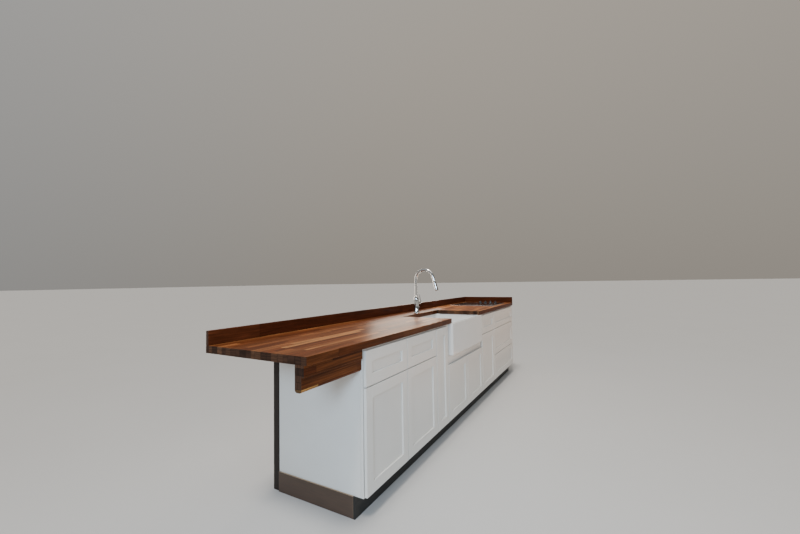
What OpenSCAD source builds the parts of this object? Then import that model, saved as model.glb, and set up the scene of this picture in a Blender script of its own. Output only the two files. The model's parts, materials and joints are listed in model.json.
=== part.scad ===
// Fitted kitchen base run: butcher-block counter with a bar end, face-frame cabinets,
// apron-front sink, swivel tap and glass cooktop. Millimetres, +Z up.
// The origin is on the floor, midway along the counter and midway between the wall and the
// sink's front face. +X runs from the bar end to the far end, the wall is on +Y.

/* [Counter] */
// Length of the counter that overhangs the first cabinet as a bar
bar_len = 430; // [250:5:600]
// Depth of the counter from its front edge to the wall
counter_d = 673; // [660:1:720]
// Height of the counter's top above the floor
counter_h = 914; // [880:1:960]
// Thickness of the butcher-block counter
counter_t = 38; // [28:1:45]
// Height of the board under the bar's front edge
bar_board_h = 116; // [60:1:140]
// Thickness of the board under the bar's front edge
bar_board_t = 38; // [20:1:45]
// Distance from the counter's front edge back to that board
bar_board_setback = 28; // [20:1:60]
// Height of the thicker band at the top of that board
bar_band_h = 51; // [30:1:58]
// How far the band stands in front of the rest of the board
bar_band_t = 14; // [5:1:18]
// Height of the splash strips above the counter
splash_h = 73; // [40:1:120]
// Thickness of the splash strips
splash_t = 19; // [10:1:25]

/* [Cabinets] */
// Width of the cabinet with two drawers over two doors
near_cab_w = 914; // [800:1:960]
// Width of the narrow cabinet with one tall door
narrow_cab_w = 229; // [200:1:300]
// Width of the face frame's uprights beside the sink
sink_upright_w = 50; // [30:1:70]
// Width of the cabinet with one drawer over one door
middle_cab_w = 457; // [380:1:540]
// Width of the cabinet with three drawers
far_cab_w = 914; // [800:1:960]
// Distance from the cabinets' backs to the wall
wall_gap = 47.7; // [20:0.1:80]
// Thickness of the cabinets' sides and floors
board_t = 16; // [12:0.5:19]
// Thickness of the cabinets' back panels
back_t = 9; // [6:0.5:12]
// Thickness of the face frames
frame_t = 19; // [16:0.5:22]
// Width of the face frames' uprights and rails
frame_w = 38; // [32:1:45]
// How far a face frame stands past the cabinet's side
frame_lip = 3; // [2:0.5:6]
// Width of the filler between the last cabinet and the far end
far_filler_w = 38; // [20:1:80]
// Height of the fixing rail under the counter at the cabinets' backs
fixing_rail_h = 76; // [50:1:100]
// Thickness of the fixing rails
fixing_rail_t = 19; // [12:0.5:22]
// Thickness of the strip that closes the gap between the end panel and the wall
scribe_t = 19; // [6:0.5:22]

/* [Plinth] */
// Height of the plinth under the cabinets
plinth_h = 114; // [90:1:130]
// Distance from the face of the doors back to the toe board
toe_setback = 71; // [50:1:90]
// Thickness of the toe board along the front
toe_board_t = 12; // [6:0.5:19]
// Thickness of the toe board on the near end
toe_skin_t = 7; // [3:0.5:12]
// Thickness of the plinth's rails and cross pieces
plinth_t = 19; // [16:0.5:25]
// Distance from the cabinets' backs to the plinth's rear rail
plinth_inset = 21; // [0:1:60]

/* [Doors and drawer fronts] */
// Distance from the counter's front edge back to the face of the doors
front_setback = 4; // [0:0.5:15]
// Thickness of doors and drawer fronts
front_t = 19; // [18:0.5:22]
// Width of the raised border of doors and drawer fronts
border_w = 60; // [45:1:70]
// Depth of the recess in the face of a door
face_recess = 10; // [4:0.5:10]
// Depth of the recess in the back of a door
rear_recess = 3; // [0.5:0.5:5]
// Gap between a door or drawer front and the next one in the same cabinet
front_gap = 6; // [5.5:0.5:8]
// Distance from a door's edge to the edge of its cabinet
side_reveal = 5; // [4:0.5:8]
// Distance from the top of the fronts to the underside of the counter
top_reveal = 14; // [6:1:20]
// Distance from the bottom of the fronts to the bottom of the cabinets
bottom_reveal = 6; // [3:1:12]
// Height of the top row of drawer fronts
drawer_front_h = 186; // [170:1:210]
// Height of the lowest drawer front
bottom_front_h = 263; // [200:1:320]
// Height of the rail that shows between the sink and its doors
sink_rail_show = 71; // [50:1:100]

/* [Drawer boxes] */
// Thickness of a drawer box's walls
drawer_wall_t = 12; // [9:0.5:16]
// Thickness of a drawer box's floor
drawer_floor_t = 9; // [6:0.5:12]
// Room between a drawer box and the cabinet's back
drawer_back_gap = 43.3; // [25:0.1:80]
// Room between a drawer box and the frame on each side
drawer_side_gap = 13; // [8:0.5:20]
// Room between a drawer box and the rail below it
drawer_lift = 6; // [5:0.5:10]
// Room between a drawer box and the rail above it
drawer_head = 18; // [10:1:30]
// Width of a drawer runner
runner_w = 25; // [15:1:30]
// Height of a drawer runner
runner_h = 20; // [15:1:25]

/* [Sink] */
// Width of the sink
sink_w = 810; // [700:1:830]
// Depth of the sink from its front face to its back
sink_d = 500; // [450:1:540]
// Height of the sink
sink_h = 254; // [220:1:270]
// Thickness of the sink's walls
sink_wall_t = 22; // [16:0.5:28]
// Thickness of the sink's floor
sink_floor_t = 25; // [18:0.5:32]
// Radius of the sink's outer corners
sink_corner_r = 18; // [8:1:30]
// Radius of the bowl's inner corners
bowl_corner_r = 45; // [25:1:70]
// How far the sink's face stands in front of the counter's edge
sink_proud = 15; // [2:1:25]
// How far the counter covers the sink's rim at each side and at the back
rim_cover = 27; // [10:1:40]
// Width of the two boards that carry the sink
bearer_w = 70; // [50:1:90]
// Thickness of the two boards that carry the sink
bearer_t = 38; // [25:1:50]
// Radius of the drain hole in the sink's floor
drain_r = 44.5; // [40:0.5:50]
// Radius of the bore in the strainer's outlet
outlet_bore_r = 17.5; // [14:0.5:22]
// Length of the strainer's outlet pipe
outlet_len = 40; // [20:1:80]
// Radius of the hole in the cabinet's floor for the waste pipe
waste_hole_r = 30; // [25:1:45]

/* [Tap] */
// Distance from the counter's cut-out for the sink back to the tap's axis
tap_rim_gap = 50; // [35:1:80]
// Radius of the tap's foot
tap_foot_r = 27; // [26:0.5:32]
// Radius of the tap's body
tap_body_r = 24; // [18:0.5:26]
// Height of the tap's body above the counter
tap_body_h = 160; // [120:1:200]
// Radius of the neck and arch
neck_r = 13; // [9:0.5:15]
// Height of the straight part of the neck above the body
neck_h = 161; // [100:1:200]
// Radius of the arch, from the neck's axis to the arch's centre
arch_r = 92; // [80:1:130]
// Angle by which the spray head leans outwards
head_lean = 16; // [0:1:25]
// Length of the straight tube at the spray head's upper end
tail_len = 40; // [20:1:60]
// Radius of the spray head
spray_r = 16; // [15.5:0.5:20]
// Length of the spray head
spray_h = 97; // [60:1:120]
// Height of the lever's hub above the counter
hub_z = 98; // [70:1:110]
// Radius of the lever's hub
hub_r = 15; // [10:0.5:18]
// Length of the lever's hub
hub_len = 20; // [10:1:30]
// Length of the lever
lever_len = 88; // [60:1:110]
// Width of the lever
lever_w = 14; // [10:0.5:18]
// Thickness of the lever
lever_t = 7; // [4:0.5:10]
// Angle from the right hand to the side where the lever sits, towards the front
lever_side = 30; // [0:1:60]
// Angle by which the closed lever leans back
lever_lean = 20; // [0:1:25]

/* [Cooktop] */
// Width of the cooktop along the counter
hob_w = 600; // [560:1:700]
// Distance from the back of the cooktop to the wall
hob_back_gap = 88; // [75:1:120]
// Thickness of the cooktop's glass and edge
hob_t = 8; // [4:0.5:12]
// Distance from the counter's front edge to the cooktop
hob_front_gap = 55; // [50:1:70]
// How far the glass lies on the counter around the cut-out
hob_lip = 20; // [12:1:30]
// Room between the burner box and the cut-out
hob_fit = 3; // [1:0.5:6]
// Depth of the burner box below the counter's top
hob_box_h = 50; // [40:1:60]
// Radius of a knob
knob_r = 19; // [14:0.5:24]
// Height of a knob
knob_h = 22; // [14:1:30]
// Distance between the knobs' axes
knob_pitch = 66; // [60:1:80]
// Distance from the glass's far edge to the knobs' axes
knob_edge_gap = 52; // [35:1:70]
// Distance from the glass's front edge to the first knob's axis
knob_front_gap = 110; // [60:1:150]

/* [Clearances] */
// Gap between a closed door and the frame, and between other resting moving pieces
seat_gap = 0.3; // [0.2:0.1:0.5]
// Gap between a drawer box and its runners
runner_gap = 0.5; // [0.3:0.1:1]
// Gap between the sink and the frame beside it
sink_fit = 2; // [1:0.5:4]

/* [Hidden] */
$fn = 64;
cut = 1; // how far a cutting shape runs past the face it cuts

// Places along the run
sink_cab_w = sink_w + 2 * (sink_fit + sink_upright_w);
cabs_w = near_cab_w + narrow_cab_w + sink_cab_w + middle_cab_w + far_cab_w;
run_len = bar_len + cabs_w + far_filler_w;
near_x = -run_len / 2;
far_x = run_len / 2;
panel_x = near_x + bar_len;

// Left and right edge of each cabinet, from the bar end on
near_cab = [panel_x, panel_x + near_cab_w];
narrow_cab = [near_cab[1], near_cab[1] + narrow_cab_w];
sink_cab = [narrow_cab[1], narrow_cab[1] + sink_cab_w];
middle_cab = [sink_cab[1], sink_cab[1] + middle_cab_w];
far_cab = [middle_cab[1], middle_cab[1] + far_cab_w];
all_cabs = [near_cab, narrow_cab, sink_cab, middle_cab, far_cab];
function middle_of(cab) = (cab[0] + cab[1]) / 2;

// Places from the front to the wall
wall_y = (counter_d + sink_proud) / 2;
edge_y = wall_y - counter_d;
front_y = edge_y + front_setback;
frame_y = front_y + front_t + seat_gap;
box_y = frame_y + frame_t;
back_y = wall_y - wall_gap;
toe_y = front_y + toe_setback;
sink_y = edge_y - sink_proud;

// Heights
box_top = counter_h - counter_t;
fronts_low = plinth_h + bottom_reveal;
fronts_high = box_top - top_reveal;
drawer_low = fronts_high - drawer_front_h;
doors_high = drawer_low - front_gap;
bottom_front_high = fronts_low + bottom_front_h;
stack_split = bottom_front_high + front_gap / 2;
sink_z = box_top - sink_h;
sink_doors_high = sink_z - sink_rail_show;

// Middles of the two rails between fronts
drawer_rail_z = drawer_low - front_gap / 2;
rail_low_top = plinth_h + frame_w;
rail_high_low = box_top - frame_w;

// Sink and the notch that the counter has over it
sink_x = middle_of(sink_cab) - sink_w / 2;
notch_x = sink_x + rim_cover;
notch_end = sink_x + sink_w - rim_cover;
notch_y = sink_y + sink_d - rim_cover;
bowl_z = sink_z + sink_floor_t;
drain_x = middle_of(sink_cab);
drain_y = sink_y + sink_d / 2;
strainer_flange_t = 3;
strainer_lip = 8;
strainer_wall = 1.5;
strainer_depth = 60;
strainer_fit = 0.5;

// Tap
tap_x = middle_of(sink_cab);
tap_y = notch_y + tap_rim_gap;
tap_foot_h = 6;
neck_low = counter_h + tap_body_h + seat_gap;
arch_z = neck_low + neck_h;
tail_y = tap_y - arch_r * (1 + cos(head_lean));
tail_z = arch_z + arch_r * sin(head_lean);
hub_out = tap_body_r + seat_gap;
pivot_r = 8;
pivot_out = hub_out + hub_len + seat_gap + pivot_r;
pivot_z = counter_h + hub_z;

// Cooktop
hob_x = middle_of(far_cab) - hob_w / 2;
hob_y = edge_y + hob_front_gap;
hob_d = wall_y - hob_back_gap - hob_y;
hob_corner_r = 10;
knob_z = counter_h + hob_t + seat_gap;
knob_x = hob_x + hob_w - knob_edge_gap;
function knob_y(n) = hob_y + knob_front_gap + (n - 1) * knob_pitch;
knob_grip_w = 9;

// Colours
block_wood = "sienna";
edge_wood = "saddlebrown";
cabinet_paint = "whitesmoke";
plywood = "burlywood";
toe_paint = [0.36, 0.29, 0.25];
steel = "silver";
chrome = [0.78, 0.79, 0.8];

// A box between two corners
module block(low, high) {
    translate(low)
        cube(high - low);
}

// A plate or block with four rounded upright edges
module rounded_block(low, high, r) {
    size = high - low;
    translate(low) {
        translate([r, 0, 0])
            cube([size.x - 2 * r, size.y, size.z]);
        translate([0, r, 0])
            cube([size.x, size.y - 2 * r, size.z]);
        for (x = [r, size.x - r])
            for (y = [r, size.y - r])
                translate([x, y, 0])
                    cylinder(r = r, h = size.z);
    }
}

// Counter
module counter_slab(x0, x1) {
    block([x0, edge_y, box_top], [x1, wall_y, counter_h]);
}

module counter_near() {
    color(block_wood)
        counter_slab(near_x, notch_x);
}

module counter_sink_strip() {
    color(block_wood)
        block([notch_x, notch_y, box_top], [notch_end, wall_y, counter_h]);
}

module counter_far() {
    color(block_wood)
        difference() {
            counter_slab(notch_end, far_x);
            block(
                [hob_x + hob_lip, hob_y + hob_lip, box_top - cut],
                [hob_x + hob_w - hob_lip, hob_y + hob_d - hob_lip, counter_h + cut]
            );
        }
}

module bar_board() {
    y = edge_y + bar_board_setback;
    back = y + bar_board_t;
    color(edge_wood) {
        block([near_x, y, box_top - bar_board_h], [panel_x, back, box_top]);
        block([near_x, y - bar_band_t, box_top - bar_band_h], [panel_x, back, box_top]);
    }
}

module wall_splash() {
    color(edge_wood)
        block([near_x, wall_y - splash_t, counter_h], [far_x - splash_t, wall_y, counter_h + splash_h]);
}

module end_splash() {
    color(edge_wood)
        block([far_x - splash_t, edge_y, counter_h], [far_x, wall_y, counter_h + splash_h]);
}

// Cabinet boxes
module end_panel() {
    color(cabinet_paint)
        block([panel_x, box_y, plinth_h], [panel_x + frame_lip, back_y, box_top]);
}

module far_filler() {
    color(cabinet_paint)
        block([far_x - far_filler_w, frame_y, plinth_h], [far_x, box_y, box_top]);
}

module cabinet_sides() {
    color(plywood)
        for (cab = all_cabs)
            for (x = [cab[0] + frame_lip, cab[1] - frame_lip - board_t])
                block([x, box_y, plinth_h], [x + board_t, back_y, box_top]);
}

// Whatever lies between the two sides of a cabinet
module between_sides(cab, y0, y1, z0, z1) {
    inset = frame_lip + board_t;
    block([cab[0] + inset, y0, z0], [cab[1] - inset, y1, z1]);
}

module cabinet_floors() {
    color(plywood)
        difference() {
            for (cab = all_cabs)
                between_sides(cab, box_y, back_y - back_t, plinth_h, plinth_h + board_t);
            translate([drain_x, drain_y, plinth_h - cut])
                cylinder(r = waste_hole_r, h = board_t + 2 * cut);
        }
}

module cabinet_backs() {
    color(plywood)
        for (cab = all_cabs)
            between_sides(cab, back_y - back_t, back_y, plinth_h, box_top);
}

module fixing_rails() {
    y = back_y - back_t;
    color(plywood)
        for (cab = all_cabs)
            between_sides(cab, y - fixing_rail_t, y, box_top - fixing_rail_h, box_top);
}

// Face frames
function upright_w(cab) = cab == sink_cab ? sink_upright_w : frame_w;

module frame_piece(x0, x1, z0, z1) {
    block([x0, frame_y, z0], [x1, box_y, z1]);
}

module left_uprights() {
    color(cabinet_paint)
        for (cab = all_cabs)
            frame_piece(cab[0], cab[0] + upright_w(cab), plinth_h, box_top);
}

module right_uprights() {
    color(cabinet_paint)
        for (cab = all_cabs)
            frame_piece(cab[1] - upright_w(cab), cab[1], plinth_h, box_top);
}

module rail(cab, z0, z1) {
    frame_piece(cab[0] + upright_w(cab), cab[1] - upright_w(cab), z0, z1);
}

module middle_rail(cab, z) {
    rail(cab, z - frame_w / 2, z + frame_w / 2);
}

module frame_rails() {
    color(cabinet_paint) {
        for (cab = all_cabs)
            rail(cab, plinth_h, rail_low_top);
        for (cab = [near_cab, narrow_cab, middle_cab, far_cab])
            rail(cab, rail_high_low, box_top);
        for (cab = [near_cab, middle_cab, far_cab])
            middle_rail(cab, drawer_rail_z);
        middle_rail(far_cab, stack_split);
        rail(sink_cab, sink_doors_high - frame_w / 2, sink_z);
    }
}

module drawer_upright() {
    x = middle_of(near_cab);
    color(cabinet_paint)
        frame_piece(x - frame_w / 2, x + frame_w / 2, drawer_rail_z + frame_w / 2, rail_high_low);
}

// Plinth
module plinth_rails() {
    front = toe_y + toe_board_t;
    back = back_y - plinth_inset;
    color(plywood)
        for (y = [front, back - plinth_t])
            block([panel_x, y, 0], [far_x, y + plinth_t, plinth_h]);
}

module plinth_cross_pieces() {
    y0 = toe_y + toe_board_t + plinth_t;
    y1 = back_y - plinth_inset - plinth_t;
    joins = [narrow_cab[0], sink_cab[0], middle_cab[0], far_cab[0]];
    places = concat([panel_x + plinth_t / 2], joins, [far_x - plinth_t / 2]);
    color(plywood)
        for (x = places)
            block([x - plinth_t / 2, y0, 0], [x + plinth_t / 2, y1, plinth_h]);
}

module toe_board() {
    color(toe_paint)
        block([panel_x - toe_skin_t, toe_y, 0], [far_x, toe_y + toe_board_t, plinth_h]);
}

module toe_skin() {
    color(toe_paint)
        block([panel_x - toe_skin_t, toe_y + toe_board_t, 0], [panel_x, back_y, plinth_h]);
}

module scribe_strip() {
    color(toe_paint)
        block([panel_x, back_y, 0], [panel_x + scribe_t, wall_y, box_top]);
}

// Doors and drawer fronts: a border round a panel that is recessed on both faces
module shaker_front(x0, x1, z0, z1) {
    color(cabinet_paint)
        difference() {
            block([x0, front_y, z0], [x1, front_y + front_t, z1]);
            block(
                [x0 + border_w, front_y - cut, z0 + border_w],
                [x1 - border_w, front_y + face_recess, z1 - border_w]
            );
            block(
                [x0 + border_w, front_y + front_t - rear_recess, z0 + border_w],
                [x1 - border_w, front_y + front_t + cut, z1 - border_w]
            );
        }
}

// Left and right edges of a cabinet's fronts
function front_x0(cab) = cab[0] + side_reveal;
function front_x1(cab) = cab[1] - side_reveal;
function left_half_x1(cab) = middle_of(cab) - front_gap / 2;
function right_half_x0(cab) = middle_of(cab) + front_gap / 2;

module near_left_door() {
    shaker_front(front_x0(near_cab), left_half_x1(near_cab), fronts_low, doors_high);
}

module near_right_door() {
    shaker_front(right_half_x0(near_cab), front_x1(near_cab), fronts_low, doors_high);
}

module narrow_door() {
    shaker_front(front_x0(narrow_cab), front_x1(narrow_cab), fronts_low, fronts_high);
}

module sink_left_door() {
    shaker_front(front_x0(sink_cab), left_half_x1(sink_cab), fronts_low, sink_doors_high);
}

module sink_right_door() {
    shaker_front(right_half_x0(sink_cab), front_x1(sink_cab), fronts_low, sink_doors_high);
}

module middle_door() {
    shaker_front(front_x0(middle_cab), front_x1(middle_cab), fronts_low, doors_high);
}

module near_left_drawer_front() {
    shaker_front(front_x0(near_cab), left_half_x1(near_cab), drawer_low, fronts_high);
}

module near_right_drawer_front() {
    shaker_front(right_half_x0(near_cab), front_x1(near_cab), drawer_low, fronts_high);
}

module middle_drawer_front() {
    shaker_front(front_x0(middle_cab), front_x1(middle_cab), drawer_low, fronts_high);
}

module far_top_drawer_front() {
    shaker_front(front_x0(far_cab), front_x1(far_cab), drawer_low, fronts_high);
}

module far_centre_drawer_front() {
    shaker_front(front_x0(far_cab), front_x1(far_cab), bottom_front_high + front_gap, doors_high);
}

module far_bottom_drawer_front() {
    shaker_front(front_x0(far_cab), front_x1(far_cab), fronts_low, bottom_front_high);
}

// Openings that the drawers run in: left, right, bottom and top edges
half_rail = frame_w / 2;
near_left_bay = [
    near_cab[0] + frame_w, middle_of(near_cab) - half_rail, drawer_rail_z + half_rail, rail_high_low
];
near_right_bay = [
    middle_of(near_cab) + half_rail, near_cab[1] - frame_w, drawer_rail_z + half_rail, rail_high_low
];
middle_bay = [
    middle_cab[0] + frame_w, middle_cab[1] - frame_w, drawer_rail_z + half_rail, rail_high_low
];
far_top_bay = [
    far_cab[0] + frame_w, far_cab[1] - frame_w, drawer_rail_z + half_rail, rail_high_low
];
far_centre_bay = [far_top_bay[0], far_top_bay[1], stack_split + half_rail, drawer_rail_z - half_rail];
far_bottom_bay = [far_top_bay[0], far_top_bay[1], rail_low_top, stack_split - half_rail];
all_bays = [near_left_bay, near_right_bay, middle_bay, far_top_bay, far_centre_bay, far_bottom_bay];

function box_low(bay) = bay[2] + drawer_lift;

// Drawer box behind its front, open at the top
module drawer_box(bay) {
    low = [bay[0] + drawer_side_gap, front_y + front_t, box_low(bay)];
    high = [bay[1] - drawer_side_gap, back_y - back_t - drawer_back_gap, bay[3] - drawer_head];
    wall = [drawer_wall_t, drawer_wall_t, 0];
    color(plywood)
        difference() {
            block(low, high);
            block(low + wall + [0, 0, drawer_floor_t], high - wall + [0, 0, cut]);
        }
}

module near_left_drawer_box() {
    drawer_box(near_left_bay);
}

module near_right_drawer_box() {
    drawer_box(near_right_bay);
}

module middle_drawer_box() {
    drawer_box(middle_bay);
}

module far_top_drawer_box() {
    drawer_box(far_top_bay);
}

module far_centre_drawer_box() {
    drawer_box(far_centre_bay);
}

module far_bottom_drawer_box() {
    drawer_box(far_bottom_bay);
}

// A pair of runners under each drawer box, from the face frame to the cabinet's back
module drawer_runners() {
    color(steel)
        for (bay = all_bays) {
            top = box_low(bay) - runner_gap;
            for (x = [bay[0] + drawer_side_gap, bay[1] - drawer_side_gap - runner_w])
                block([x, box_y, top - runner_h], [x + runner_w, back_y - back_t, top]);
        }
}

// Sink
module sink_bearers() {
    inset = frame_lip + board_t;
    left = sink_cab[0] + inset;
    right = sink_cab[1] - inset;
    color(plywood)
        for (x = [left, right - bearer_w])
            block([x, box_y, sink_z - bearer_t], [x + bearer_w, back_y - back_t, sink_z]);
}

module sink() {
    outer_low = [sink_x, sink_y, sink_z];
    outer_high = [sink_x + sink_w, sink_y + sink_d, box_top];
    wall = [sink_wall_t, sink_wall_t, 0];
    color("white")
        difference() {
            rounded_block(outer_low, outer_high, sink_corner_r);
            rounded_block(
                outer_low + wall + [0, 0, sink_floor_t],
                outer_high - wall + [0, 0, cut],
                bowl_corner_r
            );
            translate([drain_x, drain_y, sink_z - cut])
                cylinder(r = drain_r, h = sink_floor_t + 2 * cut);
        }
}

module sink_strainer() {
    cup_r = drain_r - strainer_fit;
    low = bowl_z - strainer_depth;
    outlet_r = outlet_bore_r + strainer_wall;
    color(steel)
        translate([drain_x, drain_y, 0])
            difference() {
                union() {
                    translate([0, 0, bowl_z])
                        cylinder(r = drain_r + strainer_lip, h = strainer_flange_t);
                    translate([0, 0, low])
                        cylinder(r = cup_r, h = strainer_depth);
                    translate([0, 0, low - outlet_len])
                        cylinder(r = outlet_r, h = outlet_len + strainer_wall);
                }
                translate([0, 0, low + strainer_wall])
                    cylinder(r = cup_r - strainer_wall, h = strainer_depth + strainer_flange_t);
                translate([0, 0, low - outlet_len - cut])
                    cylinder(r = outlet_bore_r, h = outlet_len + strainer_wall + 2 * cut);
            }
}

// Tap
module tap_body() {
    color(chrome)
        translate([tap_x, tap_y, counter_h]) {
            cylinder(r = tap_foot_r, h = tap_foot_h);
            cylinder(r = tap_body_r, h = tap_body_h);
        }
}

module tap_spout() {
    color(chrome)
        translate([tap_x, tap_y, 0]) {
            translate([0, 0, neck_low])
                cylinder(r = neck_r, h = neck_h);
            translate([0, -arch_r, arch_z])
                rotate([90, 0, 90])
                    rotate_extrude(angle = 180 - head_lean)
                        translate([arch_r, 0])
                            circle(r = neck_r);
        }
}

module spray_head() {
    color(chrome)
        translate([tap_x, tail_y, tail_z])
            rotate([180 - head_lean, 0, 0]) {
                cylinder(r = neck_r, h = tail_len);
                translate([0, 0, tail_len])
                    cylinder(r1 = neck_r, r2 = spray_r, h = spray_h);
            }
}

module tap_hub() {
    color(chrome)
        translate([tap_x, tap_y, pivot_z])
            rotate([0, 0, -lever_side])
                translate([hub_out, 0, 0])
                    rotate([0, 90, 0])
                        cylinder(r = hub_r, h = hub_len);
}

module tap_lever() {
    color(chrome)
        translate([tap_x, tap_y, pivot_z])
            rotate([0, 0, -lever_side])
                translate([pivot_out, 0, 0])
                    rotate([-lever_lean, 0, 0]) {
                        sphere(r = pivot_r);
                        translate([-lever_t / 2, -lever_w / 2, 0])
                            cube([lever_t, lever_w, lever_len]);
                    }
}

// Cooktop
module cooktop() {
    color([0.05, 0.05, 0.05])
        rounded_block(
            [hob_x, hob_y, counter_h],
            [hob_x + hob_w, hob_y + hob_d, counter_h + hob_t],
            hob_corner_r
        );
}

module burner_box() {
    inset = hob_lip + hob_fit;
    color(steel)
        block(
            [hob_x + inset, hob_y + inset, counter_h - hob_box_h],
            [hob_x + hob_w - inset, hob_y + hob_d - inset, counter_h]
        );
}

module knob(n) {
    color("dimgray")
        translate([knob_x, knob_y(n), knob_z]) {
            cylinder(r = knob_r, h = knob_h / 2);
            translate([-knob_r, -knob_grip_w / 2, 0])
                cube([2 * knob_r, knob_grip_w, knob_h]);
        }
}

counter_near();
counter_sink_strip();
counter_far();
bar_board();
wall_splash();
end_splash();
end_panel();
far_filler();
cabinet_sides();
cabinet_floors();
cabinet_backs();
fixing_rails();
left_uprights();
right_uprights();
frame_rails();
drawer_upright();
drawer_runners();
plinth_rails();
plinth_cross_pieces();
toe_board();
toe_skin();
scribe_strip();
sink_bearers();
sink();
sink_strainer();
cooktop();
burner_box();
knob(1);  // knob_1
knob(2);  // knob_2
knob(3);  // knob_3
knob(4);  // knob_4
tap_body();
tap_spout();
spray_head();
tap_hub();
tap_lever();
near_left_door();
near_right_door();
narrow_door();
sink_left_door();
sink_right_door();
middle_door();
near_left_drawer_front();
near_left_drawer_box();
near_right_drawer_front();
near_right_drawer_box();
middle_drawer_front();
middle_drawer_box();
far_top_drawer_front();
far_top_drawer_box();
far_centre_drawer_front();
far_centre_drawer_box();
far_bottom_drawer_front();
far_bottom_drawer_box();
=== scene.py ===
# Fitted kitchen base run: butcher-block counter with a bar end, shaker fronts, apron-front
# sink, swivel tap and glass cooktop. Metres, +Z up, fronts towards -Y, the bar end on -X.
import json
import math

import bmesh
import bpy
from mathutils import Matrix, Vector

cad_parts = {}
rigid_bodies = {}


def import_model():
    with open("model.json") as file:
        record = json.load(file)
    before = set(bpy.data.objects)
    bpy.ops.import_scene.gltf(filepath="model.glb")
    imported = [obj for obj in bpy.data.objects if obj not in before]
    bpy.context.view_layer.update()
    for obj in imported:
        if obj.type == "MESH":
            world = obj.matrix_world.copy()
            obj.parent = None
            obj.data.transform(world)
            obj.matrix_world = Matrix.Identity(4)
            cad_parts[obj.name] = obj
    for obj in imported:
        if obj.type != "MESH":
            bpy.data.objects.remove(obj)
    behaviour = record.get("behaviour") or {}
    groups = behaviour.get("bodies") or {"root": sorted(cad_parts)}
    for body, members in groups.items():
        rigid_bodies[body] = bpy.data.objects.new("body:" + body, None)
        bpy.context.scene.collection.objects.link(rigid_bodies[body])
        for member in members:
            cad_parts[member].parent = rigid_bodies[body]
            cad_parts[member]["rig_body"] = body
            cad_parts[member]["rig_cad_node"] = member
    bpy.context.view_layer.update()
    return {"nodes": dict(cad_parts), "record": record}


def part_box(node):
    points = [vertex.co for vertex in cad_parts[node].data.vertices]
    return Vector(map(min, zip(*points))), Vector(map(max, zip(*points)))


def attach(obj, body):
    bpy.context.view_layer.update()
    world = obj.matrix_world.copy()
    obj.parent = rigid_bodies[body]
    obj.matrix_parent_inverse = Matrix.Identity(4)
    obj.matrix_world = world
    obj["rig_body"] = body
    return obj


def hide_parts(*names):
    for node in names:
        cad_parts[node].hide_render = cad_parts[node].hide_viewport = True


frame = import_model()
bodyOf = {node: body for body, nodes in frame["record"]["behaviour"]["bodies"].items() for node in nodes}
jointOf = {joint["name"]: joint for joint in frame["record"]["behaviour"]["joints"]}
print("frame loaded:", len(frame["nodes"]), "nodes")

# camera
view = {
    "place": (-3.07626, -1.40559, 1.21856),
    "turn": (92.2888, 0.8882, -60.8383),  # degrees
    "lens": 16.3715,
    "sensor": 36.0,
}
bpy.ops.object.select_all(action="DESELECT")
bpy.ops.object.camera_add(location=view["place"], rotation=[math.radians(a) for a in view["turn"]])
camera = bpy.context.object
camera.name = "photoCamera"
camera.data.lens = view["lens"]
camera.data.sensor_width = view["sensor"]
camera.data.clip_start = 0.02
bpy.context.scene.camera = camera

# modelling tools
weldReach = 1e-6  # corners closer than this are one corner
flatAngle = math.radians(1)  # faces closer than this in direction are one flat face
facingShare = 0.9  # a face looks along an axis when its normal has this share of it


def near(first, second, reach=1e-5):
    return abs(first - second) < reach


def clearSelection():
    if bpy.context.object and bpy.context.object.mode != "OBJECT":
        objectMode()
    bpy.ops.object.select_all(action="DESELECT")


def selectOnly(piece):
    clearSelection()
    piece.select_set(True)
    bpy.context.view_layer.objects.active = piece


def editMode():
    bpy.ops.object.mode_set(mode="EDIT")


def objectMode():
    bpy.ops.object.mode_set(mode="OBJECT")


def selectAll():
    bpy.ops.mesh.select_all(action="SELECT")


def applyPlace():
    bpy.ops.object.transform_apply(location=True, rotation=True, scale=True)


def smoothBelow(degrees):
    bpy.ops.object.shade_smooth_by_angle(angle=math.radians(degrees))


def pick(kind, wanted):
    # selects the faces, edges or corners of the piece in edit mode that pass the test
    bpy.ops.mesh.select_mode(type=kind)
    bpy.ops.mesh.select_all(action="DESELECT")
    shape = bmesh.from_edit_mesh(bpy.context.object.data)
    for item in {"VERT": shape.verts, "EDGE": shape.edges, "FACE": shape.faces}[kind]:
        if wanted(item):
            item.select_set(True)
    shape.select_flush_mode()
    bmesh.update_edit_mesh(bpy.context.object.data)


def edgeMiddle(edge):
    return (edge.verts[0].co + edge.verts[1].co) / 2


def edgeRun(edge):
    return edge.verts[1].co - edge.verts[0].co


def upright(edge):
    return abs(edgeRun(edge).z) > 0.99 * edgeRun(edge).length


def weldAll():
    # merges what a spin or a copy left double, and turns the faces outwards
    selectAll()
    bpy.ops.mesh.remove_doubles(threshold=weldReach)
    bpy.ops.mesh.normals_make_consistent(inside=False)


def bevelPicked(wanted, radius, segments):
    # rounds the edges of the active piece that pass the test
    editMode()
    pick("EDGE", wanted)
    bpy.ops.mesh.bevel(offset=radius, segments=segments, affect="EDGES")
    objectMode()


def scaleEnd(side, factors):
    # widens or narrows the active piece's top (side 1) or foot (side -1)
    editMode()
    pick("FACE", lambda f: f.normal.z * side > facingShare)
    bpy.ops.transform.resize(value=factors)
    objectMode()


def addBlock(name, low, high):
    low, high = Vector(low), Vector(high)
    clearSelection()
    bpy.ops.mesh.primitive_cube_add(size=1, location=(low + high) / 2, scale=high - low)
    applyPlace()
    bpy.context.object.name = name
    return bpy.context.object


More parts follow.
